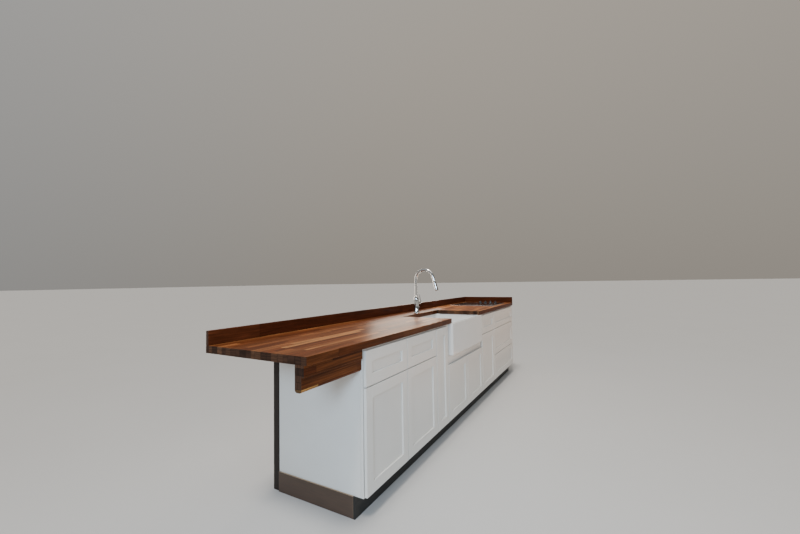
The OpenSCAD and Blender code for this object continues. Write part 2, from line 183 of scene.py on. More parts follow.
def addRod(place, radius, depth, sides, turn=(0, 0, 0)):
    clearSelection()
    bpy.ops.mesh.primitive_cylinder_add(vertices=sides, radius=radius, depth=depth,
                                        location=place, rotation=turn)
    applyPlace()
    return bpy.context.object


def applyStep(piece, kind, **settings):
    bpy.context.view_layer.objects.active = piece
    step = piece.modifiers.new(kind.title(), kind)
    for key, value in settings.items():
        setattr(step, key, value)
    bpy.ops.object.modifier_apply(modifier=step.name)


def cutAway(piece, cutter):
    applyStep(piece, "BOOLEAN", operation="DIFFERENCE", object=cutter, solver="EXACT")
    bpy.data.objects.remove(cutter)


def easeEdges(piece, width, segments=2, angle=35):
    # rounds every sharp edge and keeps the flats flat
    selectOnly(piece)
    bpy.ops.object.shade_smooth()
    applyStep(piece, "BEVEL", width=width, segments=segments, limit_method="ANGLE",
              angle_limit=math.radians(angle), harden_normals=True, use_clamp_overlap=True)
    return piece


def roundUprights(piece, radius, segments, wanted=None):
    # rounds the upright edges of a block
    selectOnly(piece)
    bevelPicked(lambda e: upright(e) and (wanted is None or wanted(e)), radius, segments)


def joinPieces(name, parts):
    selectOnly(parts[0])
    for part in parts[1:]:
        part.select_set(True)
    if len(parts) > 1:
        bpy.ops.object.join()
    parts[0].name = name
    return parts[0]


def setAt(piece, place, turn=(0, 0, 0)):
    # turns and places a piece that was modelled at the origin, and keeps that in its mesh
    selectOnly(piece)
    piece.rotation_euler = turn
    piece.location = place
    applyPlace()
    return piece


def ownCopy(source, name):
    # a copy with its own mesh
    copy = source.copy()
    copy.data = source.data.copy()
    bpy.context.scene.collection.objects.link(copy)
    copy.name = name
    return copy


def placeCopy(source, name, place, turn=(0, 0, 0)):
    return setAt(ownCopy(source, name), place, turn)


def footOf(low, high):
    # the middle of a box's underside
    return Vector(((low.x + high.x) / 2, (low.y + high.y) / 2, low.z))


def turnedPiece(name, profile, foot, turn=(0, 0, 0), steps=48, smooth=35):
    # spins (radius, height) points round an axis that starts at foot; turn leans the axis
    clearSelection()
    bpy.ops.mesh.primitive_plane_add(size=0.001)
    piece = bpy.context.object
    editMode()
    bpy.ops.mesh.select_mode(type="VERT")
    selectAll()
    bpy.ops.mesh.merge(type="CENTER")
    bpy.ops.transform.translate(value=(profile[0][0], 0, profile[0][1]))
    for (r0, z0), (r1, z1) in zip(profile, profile[1:]):
        bpy.ops.mesh.extrude_region_move(TRANSFORM_OT_translate={"value": (r1 - r0, 0, z1 - z0)})
    selectAll()
    bpy.ops.mesh.spin(steps=steps, angle=2 * math.pi, center=(0, 0, 0), axis=(0, 0, 1))
    weldAll()
    objectMode()
    setAt(piece, foot, turn)
    smoothBelow(smooth)
    piece.name = name
    return piece


def pieceName(node):
    # left_uprights becomes leftUprights
    first, *rest = node.split("_")
    return first + "".join(word.title() for word in rest)


def copyOfNode(node):
    # a merged copy of a CAD node's mesh, to be given eased edges
    piece = ownCopy(frame["nodes"][node], pieceName(node))
    piece.parent = None
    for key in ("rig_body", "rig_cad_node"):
        del piece[key]
    piece.data.materials.clear()
    selectOnly(piece)
    editMode()
    selectAll()
    bpy.ops.mesh.remove_doubles(threshold=weldReach)
    bpy.ops.mesh.dissolve_limited(angle_limit=flatAngle)
    objectMode()
    return piece


def painted(piece, material):
    piece.data.materials.append(material)
    return piece


def settle(piece, node, material, slot, *more):
    # paints the piece, lets it ride with its node's body and stand for the nodes named
    if material:
        piece.data.materials.clear()
        painted(piece, material)
    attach(piece, bodyOf[node])
    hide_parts(node, *more)
    return piece


# material tools
def addNode(material, kind, inputs=None, **settings):
    made = material.node_tree.nodes.new("ShaderNode" + kind)
    for key, value in settings.items():
        setattr(made, key, value)
    for key, value in (inputs or {}).items():
        if isinstance(value, bpy.types.NodeSocket):
            material.node_tree.links.new(value, made.inputs[key])
        else:
            made.inputs[key].default_value = value
    return made


def math2(material, operation, first, second=0.0, third=0.0):
    return addNode(material, "Math", {0: first, 1: second, 2: third}, operation=operation).outputs[0]


def times(material, first, second):
    return math2(material, "MULTIPLY", first, second)


def vectorMath(material, operation, first, second):
    return addNode(material, "VectorMath", {0: first, 1: second}, operation=operation).outputs[0]


def fade(material, value, low, high, first=0.0, last=1.0):
    return addNode(material, "MapRange", {0: value, 1: low, 2: high, 3: first, 4: last}).outputs[0]


def shadeOf(material, *fades):
    # multiplies several fades together
    shade = fade(material, *fades[0])
    for step in fades[1:]:
        shade = times(material, shade, fade(material, *step))
    return shade


def blendOf(material, kind, amount, first, second):
    # Mix node for colours: sockets 0, 6 and 7 are its factor and its two colours
    inputs = {0: amount, 6: first, 7: second}
    return addNode(material, "Mix", inputs, data_type="RGBA", blend_type=kind).outputs[2]


def rampOf(material, value, stops):
    made = addNode(material, "ValToRGB", {0: value})
    ramp = made.color_ramp
    while len(ramp.elements) < len(stops):
        ramp.elements.new(0.5)
    for element, (place, colour) in zip(ramp.elements, stops):
        element.position = place
        element.color = (*colour, 1.0)
    return made.outputs[0]


def shaded(colour, factor):
    return [min(1, c * factor) for c in colour]


def toneOf(material, value, colour, *stops):
    # one colour, made darker or lighter at each stop; a stop is its place and factor
    return rampOf(material, value, [(place, shaded(colour, factor)) for place, factor in stops])


def startMaterial(name, look, metallic=0.0, **shaderValues):
    material = bpy.data.materials.new(name)
    material.use_nodes = True
    shader = material.node_tree.nodes["Principled BSDF"]
    shader.inputs["Base Color"].default_value = (*look["colour"], 1.0)
    shader.inputs["Roughness"].default_value = look["roughness"]
    shader.inputs["Metallic"].default_value = metallic
    for key, value in shaderValues.items():
        shader.inputs[key.replace("_", " ")].default_value = value
    material.diffuse_color = (*look["colour"], 1.0)
    return material, shader


def feed(material, shader, **sockets):
    for key, value in sockets.items():
        material.node_tree.links.new(value, shader.inputs[key.replace("_", " ")])


def pointOf(material, kind="Object"):
    return addNode(material, "TexCoord").outputs[kind]


def axesOf(material, kind="Object"):
    # X, Y and Z of the point being painted, or of its normal
    return dict(zip("XYZ", addNode(material, "SeparateXYZ", {0: pointOf(material, kind)}).outputs))


def joined(material, x, y, z=0.0):
    return addNode(material, "CombineXYZ", {0: x, 1: y, 2: z}).outputs[0]


def stretched(material, at, *scales):
    return joined(material, *[times(material, at[axis], scale) for axis, scale in zip("XYZ", scales)])


def darkened(material, colour, shade):
    return blendOf(material, "MULTIPLY", 1.0, colour, joined(material, shade, shade, shade))


def roughOf(material, value, look, less, more, low=0.2, high=0.8):
    return fade(material, value, low, high, look["roughness"] - less, look["roughness"] + more)


def noiseOf(material, vector, scale, detail=4.0, roughness=0.55, distortion=0.0):
    return addNode(material, "TexNoise", {"Vector": vector, "Scale": scale, "Detail": detail,
                                          "Roughness": roughness, "Distortion": distortion}).outputs[0]


def bumpOf(material, height, strength, distance, under=None):
    inputs = {"Strength": strength, "Distance": distance, "Height": height}
    if under:
        inputs["Normal"] = under
    return addNode(material, "Bump", inputs).outputs[0]


# wood of glued staves
counterWood = {
    "along": "X", "across": "Y", "start": -0.331, "width": 0.0345, "wander": 0.005, "length": 0.62,
    "tones": [(0.0, (0.090, 0.022, 0.006)), (0.28, (0.150, 0.042, 0.012)), (0.60, (0.220, 0.073, 0.023)),
              (0.86, (0.300, 0.112, 0.038)), (1.0, (0.420, 0.180, 0.066))],
    # edgeTone and edgeShade paint shade on the slab's upright faces
    "edgeTone": (0.200, 0.050, 0.014), "endShade": 0.37, "edgeShade": 0.44, "roughness": 0.38, "seed": 4.0,
}
barWood = {
    "along": "X", "across": "Z", "start": 0.7455, "width": 0.0295, "wander": 0.0, "length": 0.9,
    "tones": [(0.0, (0.048, 0.011, 0.003)), (0.45, (0.090, 0.022, 0.006)), (1.0, (0.145, 0.044, 0.012))],
    "endShade": 0.32, "edgeShade": 1.0, "roughness": 0.40, "seed": 12.0, "bandDark": 0.55,
    # sapwood at the near end's bottom
    "pale": {"colour": (0.400, 0.200, 0.060), "below": 0.775, "until": -1.845},
}
backStripWood = {
    "along": "X", "across": "Z", "start": 0.90, "width": 0.12, "wander": 0.0, "length": 1.7,
    "tones": [(0.0, (0.062, 0.014, 0.005)), (0.5, (0.092, 0.023, 0.008)), (1.0, (0.130, 0.038, 0.014))],
    "endShade": 0.45, "edgeShade": 1.0, "roughness": 0.40, "seed": 5.0,
}
# the end strip: the back strip's wood in darker tones, as painted shade
endStripWood = dict(backStripWood, along="Y", seed=8.0, tones=[
    (0.0, (0.040, 0.010, 0.003)), (0.5, (0.060, 0.015, 0.005)), (1.0, (0.085, 0.025, 0.008))])

grainMake = {  # stretch along and across the stave, noise scale, detail and distortion
    "figure": (1.1, 16.0, 2.2, 3.0, 1.2),
    "band": (1.5, 58.0, 2.0, 2.0, 0.6),
    "streak": (2.5, 150.0, 2.0, 4.0, 0.0),
    "pores": (34.0, 620.0, 2.0, 2.0, 0.0),
}
waveRate = 61.0  # how often a stave's edge wanders across the slab
lengthShift = 7.3  # moves the butt joints of each stave away from its neighbours'
ownShift = (37.0, 41.0, 43.0)  # gives each piece of wood its own part of the pattern
glueLow, glueHigh = 0.0003, 0.0014  # a glue line's half width, and where its shade ends
endGrey = (0.150, 0.105, 0.080, 1.0)


def toNearestLine(material, value, width):
    part = math2(material, "FRACT", value)
    return times(material, math2(material, "MINIMUM", part, math2(material, "SUBTRACT", 1.0, part)), width)


def staveField(material, look, run, over):
    # counts the staves and the pieces along each, and draws a random value for every piece
    bent = math2(material, "MULTIPLY_ADD", math2(material, "SINE", times(material, over, waveRate)),
                 look["wander"], over)
    stave = math2(material, "DIVIDE", math2(material, "SUBTRACT", bent, look["start"]), look["width"])
    number = math2(material, "FLOOR", math2(material, "ADD", stave, look["seed"] * 7))
    shift = addNode(material, "TexWhiteNoise", {"W": number}, noise_dimensions="1D").outputs["Value"]
    length = math2(material, "ADD", math2(material, "DIVIDE", run, look["length"]),
                   times(material, shift, lengthShift))
    piece = joined(material, number, math2(material, "FLOOR", length), look["seed"])
    chance = addNode(material, "TexWhiteNoise", {"Vector": piece}, noise_dimensions="3D")
    return stave, length, chance.outputs["Value"], chance.outputs["Color"]


def endGrain(material, look, spread, gap, chance, tone):
    # rings round a centre of their own in each piece, with pores
    rings = addNode(material, "TexWave", {"Vector": spread, "Scale": 34.0, "Distortion": 3.0, "Detail": 2.0,
                                          "Detail Scale": 1.4}, wave_type="RINGS").outputs["Fac"]
    pores = noiseOf(material, spread, 900.0, 2.0)
    shade = shadeOf(material, (rings, 0.0, 1.0, 0.72, 1.12), (pores, 0.35, 0.6, 0.7, 1.1),
                    (gap, glueLow, 0.0016, 0.25, 1.0), (chance, 0.0, 1.0, 0.55, 1.35))
    # endShade darkens the end faces: end grain's own darker tone, with painted shade
    shade = times(material, shade, look["endShade"])
    return darkened(material, blendOf(material, "MIX", 0.50, tone, endGrey), shade)


def staveWood(name, look):
    material, shader = startMaterial(name, dict(look, colour=look["tones"][1][1]), Specular_IOR_Level=0.07)
    at, facing = axesOf(material), axesOf(material, "Normal")
    third = ({"X", "Y", "Z"} - {look["along"], look["across"]}).pop()
    run, over, rest = at[look["along"]], at[look["across"]], at[third]
    stave, length, chance, chanceColour = staveField(material, look, run, over)
    own = vectorMath(material, "MULTIPLY", chanceColour, ownShift)
    tone = rampOf(material, chance, look["tones"])
    if "pale" in look:
        isPale = times(material, math2(material, "LESS_THAN", over, look["pale"]["below"]),
                       math2(material, "LESS_THAN", run, look["pale"]["until"]))
        tone = blendOf(material, "MIX", isPale, tone, (*look["pale"]["colour"], 1.0))

    # long grain: broad figure, dark bands, fine streaks and short pores
    grain = {}
    for pattern, (along, across, scale, detail, distortion) in grainMake.items():
        base = joined(material, times(material, run, along), times(material, over, across),
                      times(material, rest, across))
        moved = vectorMath(material, "ADD", base, own)
        grain[pattern] = noiseOf(material, moved, scale, detail, 0.6, distortion)
    shade = shadeOf(material, (grain["figure"], 0.30, 0.70, 0.60, 1.36),
                    (grain["streak"], 0.25, 0.75, 0.66, 1.28),
                    (grain["band"], 0.30, 0.70, look.get("bandDark", 0.74), 1.22),
                    (grain["pores"], 0.30, 0.42, 0.62, 1.0))

    # glue lines between staves and between the pieces of one stave
    gap = toNearestLine(material, stave, look["width"])
    endGap = toNearestLine(material, length, look["length"])
    line = math2(material, "MINIMUM", *[fade(material, away, glueLow, glueHigh) for away in (gap, endGap)])
    longShade = times(material, shade, fade(material, line, 0.0, 1.0, 0.25, 1.0))
    longColour = darkened(material, tone, longShade)

    # painted shade: the upright faces of a flat slab are made darker and more even than its top
    flat = fade(material, math2(material, "ABSOLUTE", facing["Z"]), 0.3, 0.8)
    if "edgeTone" in look:
        edgeShadeColour = darkened(material, (*look["edgeTone"], 1.0), longShade)
        edgeShadeShare = fade(material, flat, 0.0, 1.0, 0.70, 0.0)
        longColour = blendOf(material, "MIX", edgeShadeShare, longColour, edgeShadeColour)
    longColour = darkened(material, longColour, fade(material, flat, 0.0, 1.0, look["edgeShade"], 1.0))

    spread = vectorMath(material, "ADD", joined(material, over, rest), own)
    isEnd = math2(material, "GREATER_THAN", math2(material, "ABSOLUTE", facing[look["along"]]), 0.6)
    colour = blendOf(material, "MIX", isEnd, longColour, endGrain(material, look, spread, gap, chance, tone))
    rough = math2(material, "ADD", roughOf(material, grain["streak"], look, 0.05, 0.10),
                  times(material, isEnd, 0.16))
    height = times(material, line, fade(material, grain["pores"], 0.30, 0.42, 0.6, 1.0))
    feed(material, shader, Base_Color=colour, Roughness=rough, Normal=bumpOf(material, height, 0.35, 0.0004))
    return material


butcherBlock = staveWood("butcherBlock", counterWood)
barStaves = staveWood("barStaves", barWood)
backStripStaves = staveWood("backStripWood", backStripWood)
endStripShadedStaves = staveWood("endStripWood", endStripWood)

# plain finishes
paintLook = {"colour": (0.745, 0.735, 0.700), "roughness": 0.38, "brush": 0.10}
boardLook = {"colour": (0.600, 0.430, 0.255), "dark": (0.470, 0.310, 0.165), "roughness": 0.52}
toeLook = {"colour": (0.078, 0.048, 0.032), "cut": (0.430, 0.300, 0.190), "roughness": 0.58}
# the toe board's near-black: painted shade of the recess under the cabinets, on a copy of the toe paint
toePaintedShadeLook = {"colour": (0.016, 0.015, 0.013), "cut": (0.017, 0.016, 0.014), "roughness": 0.60}
# the scribe strip: the toe stain made near-black with painted shade of the gap by the wall
scribeShadedLook = {"colour": (0.014, 0.007, 0.003), "cut": (0.024, 0.014, 0.008), "roughness": 0.70}


def cabinetPaintMaterial(name, look):
    # sprayed satin paint over wood: a faint cloudiness, orange peel and wood grain under it
    material, shader = startMaterial(name, look, Coat_Weight=0.10, Coat_Roughness=0.30)
    cloud = noiseOf(material, pointOf(material), 3.0, 3.0)
    peel = noiseOf(material, pointOf(material), 420.0, 2.0)
    grain = noiseOf(material, stretched(material, axesOf(material), 90.0, 90.0, 6.0), 2.0, 3.0)
    colour = toneOf(material, cloud, look["colour"], (0.30, 0.965), (0.70, 1.02))
    bump = bumpOf(material, grain, look["brush"], 0.0003)
    feed(material, shader, Base_Color=colour, Roughness=roughOf(material, cloud, look, 0.05, 0.06),
         Normal=bumpOf(material, peel, 0.06, 0.0002, bump))
    return material


def boardMaterial(name, look, along):
    # birch board with its grain along one axis
    material, shader = startMaterial(name, look)
    grainAt = stretched(material, axesOf(material), *[3.0 if axis == along else 48.0 for axis in "XYZ"])
    figure = noiseOf(material, grainAt, 1.0, 4.0, 0.6, 0.8)
    fine = noiseOf(material, grainAt, 9.0, 3.0)
    mixed = math2(material, "MULTIPLY_ADD", fine, 0.35, times(material, figure, 0.75))
    colour = rampOf(material, mixed, [(0.35, look["dark"]), (0.60, look["colour"]),
                                      (0.85, shaded(look["colour"], 1.15))])
    feed(material, shader, Base_Color=colour, Roughness=roughOf(material, fine, look, 0.06, 0.08),
         Normal=bumpOf(material, fine, 0.12, 0.0003))
    return material


def toeMaterial(name, look):
    # stained board with a tone of its own on its sawn top and front edges
    material, shader = startMaterial(name, look)
    facing = axesOf(material, "Normal")
    grain = noiseOf(material, stretched(material, axesOf(material), 5.0, 5.0, 70.0), 2.0, 5.0, 0.6, 0.4)
    stain = toneOf(material, grain, look["colour"], (0.25, 0.72), (0.55, 1.0), (0.85, 1.22))
    sawn = math2(material, "GREATER_THAN", math2(material, "SUBTRACT", facing["Z"], facing["Y"]), 0.6)
    feed(material, shader, Base_Color=blendOf(material, "MIX", sawn, stain, (*look["cut"], 1.0)),
         Roughness=roughOf(material, grain, look, 0.08, 0.10), Normal=bumpOf(material, grain, 0.20, 0.0004))
    return material


cabinetPaint = cabinetPaintMaterial("cabinetPaint", paintLook)
uprightBoard = boardMaterial("uprightBoard", boardLook, "Z")
deepBoard = boardMaterial("deepBoard", boardLook, "Y")
longBoard = boardMaterial("longBoard", boardLook, "X")
toeStain = toeMaterial("toeStain", toeLook)
toeDark = toeMaterial("toeDark", toePaintedShadeLook)
scribeStain = toeMaterial("scribeStain", scribeShadedLook)

# ceramic, metal, glass and plastic
glazeLook = {"colour": (0.790, 0.780, 0.755), "roughness": 0.13}
chromeLook = {"colour": (0.650, 0.645, 0.635), "roughness": 0.07}
steelLook = {"colour": (0.560, 0.565, 0.575), "roughness": 0.34}
trimLook = {"colour": (0.720, 0.725, 0.730), "roughness": 0.22}
glassLook = {"colour": (0.006, 0.006, 0.007), "roughness": 0.090, "print": (0.32, 0.32, 0.33)}
knobLook = {"colour": (0.030, 0.030, 0.032), "roughness": 0.34}
nozzleLook = {"colour": (0.06, 0.06, 0.062), "roughness": 0.6}


def glazeMaterial(name, look):
    # fireclay glaze: a slow ripple and small matt specks
    material, shader = startMaterial(name, look)
    ripple = noiseOf(material, pointOf(material), 14.0, 2.0)
    specks = noiseOf(material, pointOf(material), 700.0, 1.0)
    colour = toneOf(material, ripple, look["colour"], (0.30, 0.97), (0.70, 1.0))
    feed(material, shader, Base_Color=colour, Roughness=roughOf(material, specks, look, 0.0, 0.2, 0.60, 0.80),
         Normal=bumpOf(material, ripple, 0.10, 0.0012))
    return material


def metalMaterial(name, look, brushedAlong=None):
    # polished metal, or metal brushed along one axis, with faint wiping marks
    material, shader = startMaterial(name, look, 1.0)
    scales = [2.0 if axis == brushedAlong else 260.0 for axis in "XYZ"] if brushedAlong else [22.0] * 3
    marks = noiseOf(material, stretched(material, axesOf(material), *scales), 1.0, 3.0)
    reach, strength = (0.10, 0.10) if brushedAlong else (0.03, 0.01)
    colour = toneOf(material, marks, look["colour"], (0.25, 0.90), (0.75, 1.0))
    feed(material, shader, Base_Color=colour,
         Roughness=roughOf(material, marks, look, reach / 2, reach, 0.25, 0.75),
         Normal=bumpOf(material, marks, strength, 0.0002))
    return material


def glassMaterial(name, look, rings):
    # black ceramic glass with thin printed heating rings
    material, shader = startMaterial(name, look, Specular_IOR_Level=0.28)
    at, facing = axesOf(material), axesOf(material, "Normal")
    marks = None
    for x, y, radius in rings:
        squares = [math2(material, "POWER", math2(material, "SUBTRACT", at[axis], centre), 2.0)
                   for axis, centre in (("X", x), ("Y", y))]
        away = math2(material, "SQRT", math2(material, "ADD", *squares))
        off = math2(material, "ABSOLUTE", math2(material, "SUBTRACT", away, radius))
        ring = fade(material, off, 0.0006, 0.0011, 1.0, 0.0)
        marks = ring if marks is None else math2(material, "MAXIMUM", marks, ring)
    marks = times(material, marks, math2(material, "GREATER_THAN", facing["Z"], 0.6))
    smear = noiseOf(material, pointOf(material), 9.0, 4.0)
    printed = times(material, marks, 0.7)
    colour = blendOf(material, "MIX", printed, (*look["colour"], 1.0), (*look["print"], 1.0))
    rough = math2(material, "ADD", roughOf(material, smear, look, 0.0, 0.07, 0.35, 0.75),
                  times(material, marks, 0.3))
    feed(material, shader, Base_Color=colour, Roughness=rough)
    return material


def plasticMaterial(name, look):
    # moulded plastic with a fine matt texture
    material, shader = startMaterial(name, look)
    grit = noiseOf(material, pointOf(material), 1400.0, 2.0)
    colour = toneOf(material, grit, look["colour"], (0.2, 0.8), (0.8, 1.3))
    feed(material, shader, Base_Color=colour, Roughness=roughOf(material, grit, look, 0.05, 0.12),
         Normal=bumpOf(material, grit, 0.15, 0.0002))
    return material


sinkGlaze = glazeMaterial("sinkGlaze", glazeLook)
tapChrome = metalMaterial("tapChrome", chromeLook)
runnerSteel = metalMaterial("runnerSteel", steelLook, "Y")
trimSteel = metalMaterial("trimSteel", trimLook, "X")
knobPlastic = plasticMaterial("knobPlastic", knobLook)
nozzleRubber = plasticMaterial("nozzleRubber", nozzleLook)
print("materials made")

# counter
counterMake = {"eased": 0.0020, "nearCornerRadius": 0.007, "sinkCornerRadius": 0.006, "cutOutRoom": 0.003}
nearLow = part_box("counter_near")[0]
stripLow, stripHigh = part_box("counter_sink_strip")
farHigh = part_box("counter_far")[1]
boxLow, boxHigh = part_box("burner_box")
cutRoom = Vector((counterMake["cutOutRoom"], counterMake["cutOutRoom"], 0))
cutLow, cutHigh = boxLow - cutRoom, boxHigh + cutRoom
fieldLines = [  # direction across the slab, and the places of its cuts
    (Vector((1, 0, 0)), (stripLow.x, stripHigh.x, cutLow.x, cutHigh.x)),
    (Vector((0, 1, 0)), (stripLow.y, cutLow.y, cutHigh.y)),
]


def makeCounter():
    # one slab: cut into fields, opened over the sink and the cooktop, then given its thickness
    clearSelection()
    low, high = Vector(nearLow), Vector(farHigh)
    middle = (low + high) / 2
    bpy.ops.mesh.primitive_plane_add(size=1, location=(middle.x, middle.y, high.z))
    piece = bpy.context.object
    piece.scale = (high.x - low.x, high.y - low.y, 1)
    applyPlace()
    editMode()
    for across, places in fieldLines:
        for place in places:
            selectAll()
            bpy.ops.mesh.bisect(plane_co=across * place, plane_no=across)

    def opened(face):
        c = face.calc_center_median()
        overSink = stripLow.x < c.x < stripHigh.x and c.y < stripLow.y
        overBox = cutLow.x < c.x < cutHigh.x and cutLow.y < c.y < cutHigh.y
        return overSink or overBox

    def besideSink(edge):
        at = edgeMiddle(edge)
        return near(at.y, low.y) and (near(at.x, stripLow.x) or near(at.x, stripHigh.x))

    def atNearCorner(edge):
        return near((edgeMiddle(edge) - low).xy.length, 0)

    pick("FACE", opened)
    bpy.ops.mesh.delete(type="FACE")
    selectAll()
    bpy.ops.mesh.dissolve_limited(angle_limit=flatAngle, use_dissolve_boundaries=False)
    selectAll()
    bpy.ops.mesh.extrude_region_move(TRANSFORM_OT_translate={"value": (0, 0, low.z - high.z)})
    selectAll()
    bpy.ops.mesh.normals_make_consistent(inside=False)
    objectMode()
    roundUprights(piece, counterMake["sinkCornerRadius"], 4, besideSink)
    roundUprights(piece, counterMake["nearCornerRadius"], 5, atNearCorner)
    piece.name = "counterTop"
    return easeEdges(piece, counterMake["eased"], 3)


settle(makeCounter(), "counter_near", butcherBlock, "butcher_block", "counter_sink_strip", "counter_far")

# board under the bar's edge, and the strips that stand on the counter
barMake = {"bandHeight": 0.051, "bandDepth": 0.014, "bandShorter": 0.010, "bottomRadius": 0.012,
           "eased": 0.0015}
stripEased = 0.0022


def makeBarBoard():
    low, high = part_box("bar_board")
    band = addBlock("upperBand", (low.x, low.y, high.z - barMake["bandHeight"]),
                    (high.x - barMake["bandShorter"], low.y + barMake["bandDepth"], high.z))
    easeEdges(band, barMake["eased"])
    board = addBlock("lowerBoard", (low.x, low.y + barMake["bandDepth"], low.z), high)
    bevelPicked(lambda e: near(edgeMiddle(e).z, low.z) and near(edgeRun(e).y, 0), barMake["bottomRadius"], 6)
    easeEdges(board, barMake["eased"])
    return joinPieces("barBoard", [board, band])


settle(makeBarBoard(), "bar_board", barStaves, "dark_wood")
strips = {"wall_splash": ("backStrip", backStripStaves), "end_splash": ("endStrip", endStripShadedStaves)}
for node, (name, material) in strips.items():
    settle(easeEdges(addBlock(name, *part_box(node)), stripEased, 3), node, material, "dark_wood")
print("counter and wooden strips made")

# doors and drawer fronts
frontMake = {"border": 0.060, "faceRecess": 0.010, "rearRecess": 0.003, "bumperGap": 0.0030, "eased": 0.0009}
hingeMake = {
    "fromEdge": 0.0225, "fromEnd": 0.100, "cupRadius": 0.0175, "holeDepth": 0.0115, "holeRoom": 0.0002,
    "reveal": 0.005, "uprightWidth": 0.038, "sinkUprightWidth": 0.050, "cupScrewZ": 0.0240,
    "plateScrewZ": 0.0155, "plateThick": 0.0016, "wingRadius": 0.0055, "cupArmEased": 0.0012,
    "plateEased": 0.0005, "frameArmEased": 0.0020,
}
frontNodes = [n for n in frame["nodes"] if n.endswith("_door") or n.endswith("_front")]
hingeX = {joint["child"]: joint["pos_m"][0] for joint in jointOf.values() if joint["child"].endswith("_door")}
towardsBack, towardsRight = (-math.pi / 2, 0, 0), (0, math.pi / 2, 0)  # lay an upright axis along +Y and +X


def screwHead(place, turn, base):
    profile = [(0.0, 0.0006), (0.0014, 0.0006), (0.0018, 0.0012), (0.0034, 0.0012), (0.0040, 0.0007),
               (0.0040, base), (0.0, base)]
    return turnedPiece("screwHead", profile, place, turn, 20)


def makeHingeCup():
    # a steel cup with its wing plate, two screws and the folded arm; the cup's rim lies at y = 0
    r = hingeMake["cupRadius"]
    cupProfile = [
        (0.0, -0.0100), (r - 0.0030, -0.0100), (r - 0.0010, -0.0080), (r - 0.0008, 0.0002),
        (r - 0.0002, 0.0011), (r + 0.0026, 0.0011), (r + 0.0030, 0.0006), (r + 0.0030, 0.0001), (r, 0.0001),
        (r, -0.0108), (0.0, -0.0108),
    ]
    cup = turnedPiece("hingeCup", cupProfile, (0, 0, 0), towardsBack, 40)
    wing = addBlock("hingeWing", (0.0040, 0.0001, -0.0300), (0.0175, 0.0010, 0.0300))
    bevelPicked(lambda e: abs(edgeRun(e).y) > 0.0005, hingeMake["wingRadius"], 5)
    arm = addBlock("hingeArm", (-0.0150, -0.0060, -0.0055), (0.0060, 0.0014, 0.0055))
    easeEdges(arm, hingeMake["cupArmEased"])
    screwZ = hingeMake["cupScrewZ"]
    screws = [screwHead((0.0108, 0.0003, z), towardsBack, 0.0001) for z in (-screwZ, screwZ)]
    return painted(joinPieces("hingeCup", [cup, wing, arm] + screws), runnerSteel)


def makeFramePlate():
    # the hinge's half on the face frame: a plate on the upright's inner edge (x = 0)
    # and an arm behind the frame, whose front is y = 0
    thick, screwZ = hingeMake["plateThick"], hingeMake["plateScrewZ"]
    plate = addBlock("framePlate", (0.0, 0.0025, -0.0230), (thick, 0.0300, 0.0230))
    easeEdges(plate, hingeMake["plateEased"])
    arm = addBlock("frameArm", (0.0, 0.0060, -0.0065), (0.0105, 0.0420, 0.0065))
    easeEdges(arm, hingeMake["frameArmEased"])
    screws = [screwHead((thick, 0.0150, z), towardsRight, 0.0) for z in (-screwZ, screwZ)]
    return painted(joinPieces("framePlate", [plate, arm] + screws), runnerSteel)


firstCup, firstPlate = makeHingeCup(), makeFramePlate()
framePlates = []


def addHinges(node, low, high, frameFront, leftStile, rightStile):
    # cuts the cups' holes into the hinged stile, and sets the plates opposite them
    onLeft = near(hingeX[node], low.x, 0.01)
    inwards, turn = (1, (0, 0, 0)) if onLeft else (-1, (0, math.pi, 0))
    uprightWidth = hingeMake["sinkUprightWidth" if node.startswith("sink") else "uprightWidth"]
    innerX = hingeX[node] + inwards * (uprightWidth - hingeMake["reveal"])
    cups = []
    for z in (low.z + hingeMake["fromEnd"], high.z - hingeMake["fromEnd"]):
        place = Vector((hingeX[node] + inwards * hingeMake["fromEdge"], high.y, z))
        hole = addRod(place, hingeMake["cupRadius"] + hingeMake["holeRoom"], 2 * hingeMake["holeDepth"], 40,
                      (math.pi / 2, 0, 0))
        cutAway(leftStile if onLeft else rightStile, hole)
        cups.append(placeCopy(firstCup, node + "Cup", place, turn))
        framePlates.append(placeCopy(firstPlate, "framePlate", (innerX, frameFront, z), turn))
    return cups


def makeFront(node):
    # two stiles, two rails and a thinner panel, so that the joints show as hairlines
    # (its back stands off the face frame by the bumpers' thickness)
    low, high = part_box(node)
    frameFront = high.y
    high.y -= frontMake["bumperGap"]
    border = frontMake["border"]
    inLeft, inRight, inLow, inHigh = low.x + border, high.x - border, low.z + border, high.z - border
    leftStile = addBlock(node + "Stile", low, (inLeft, high.y, high.z))
    rightStile = addBlock(node + "Stile", (inRight, low.y, low.z), high)
    rails = [addBlock(node + "Rail", (inLeft, low.y, bottom), (inRight, high.y, top))
             for bottom, top in ((low.z, inLow), (inHigh, high.z))]
    cups = addHinges(node, low, high, frameFront, leftStile, rightStile) if node in hingeX else []
    wood = [easeEdges(part, frontMake["eased"]) for part in [leftStile, rightStile] + rails]
    wood.append(addBlock(node + "Panel", (inLeft, low.y + frontMake["faceRecess"], inLow),
                         (inRight, high.y - frontMake["rearRecess"], inHigh)))
    for part in wood:
        painted(part, cabinetPaint)
    return joinPieces(pieceName(node), wood + cups)


for node in frontNodes:
    settle(makeFront(node), node, None, "cabinet_paint")
bpy.data.objects.remove(firstCup)
bpy.data.objects.remove(firstPlate)
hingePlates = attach(joinPieces("hingePlates", framePlates), "base")
print("fronts made:", len(frontNodes))

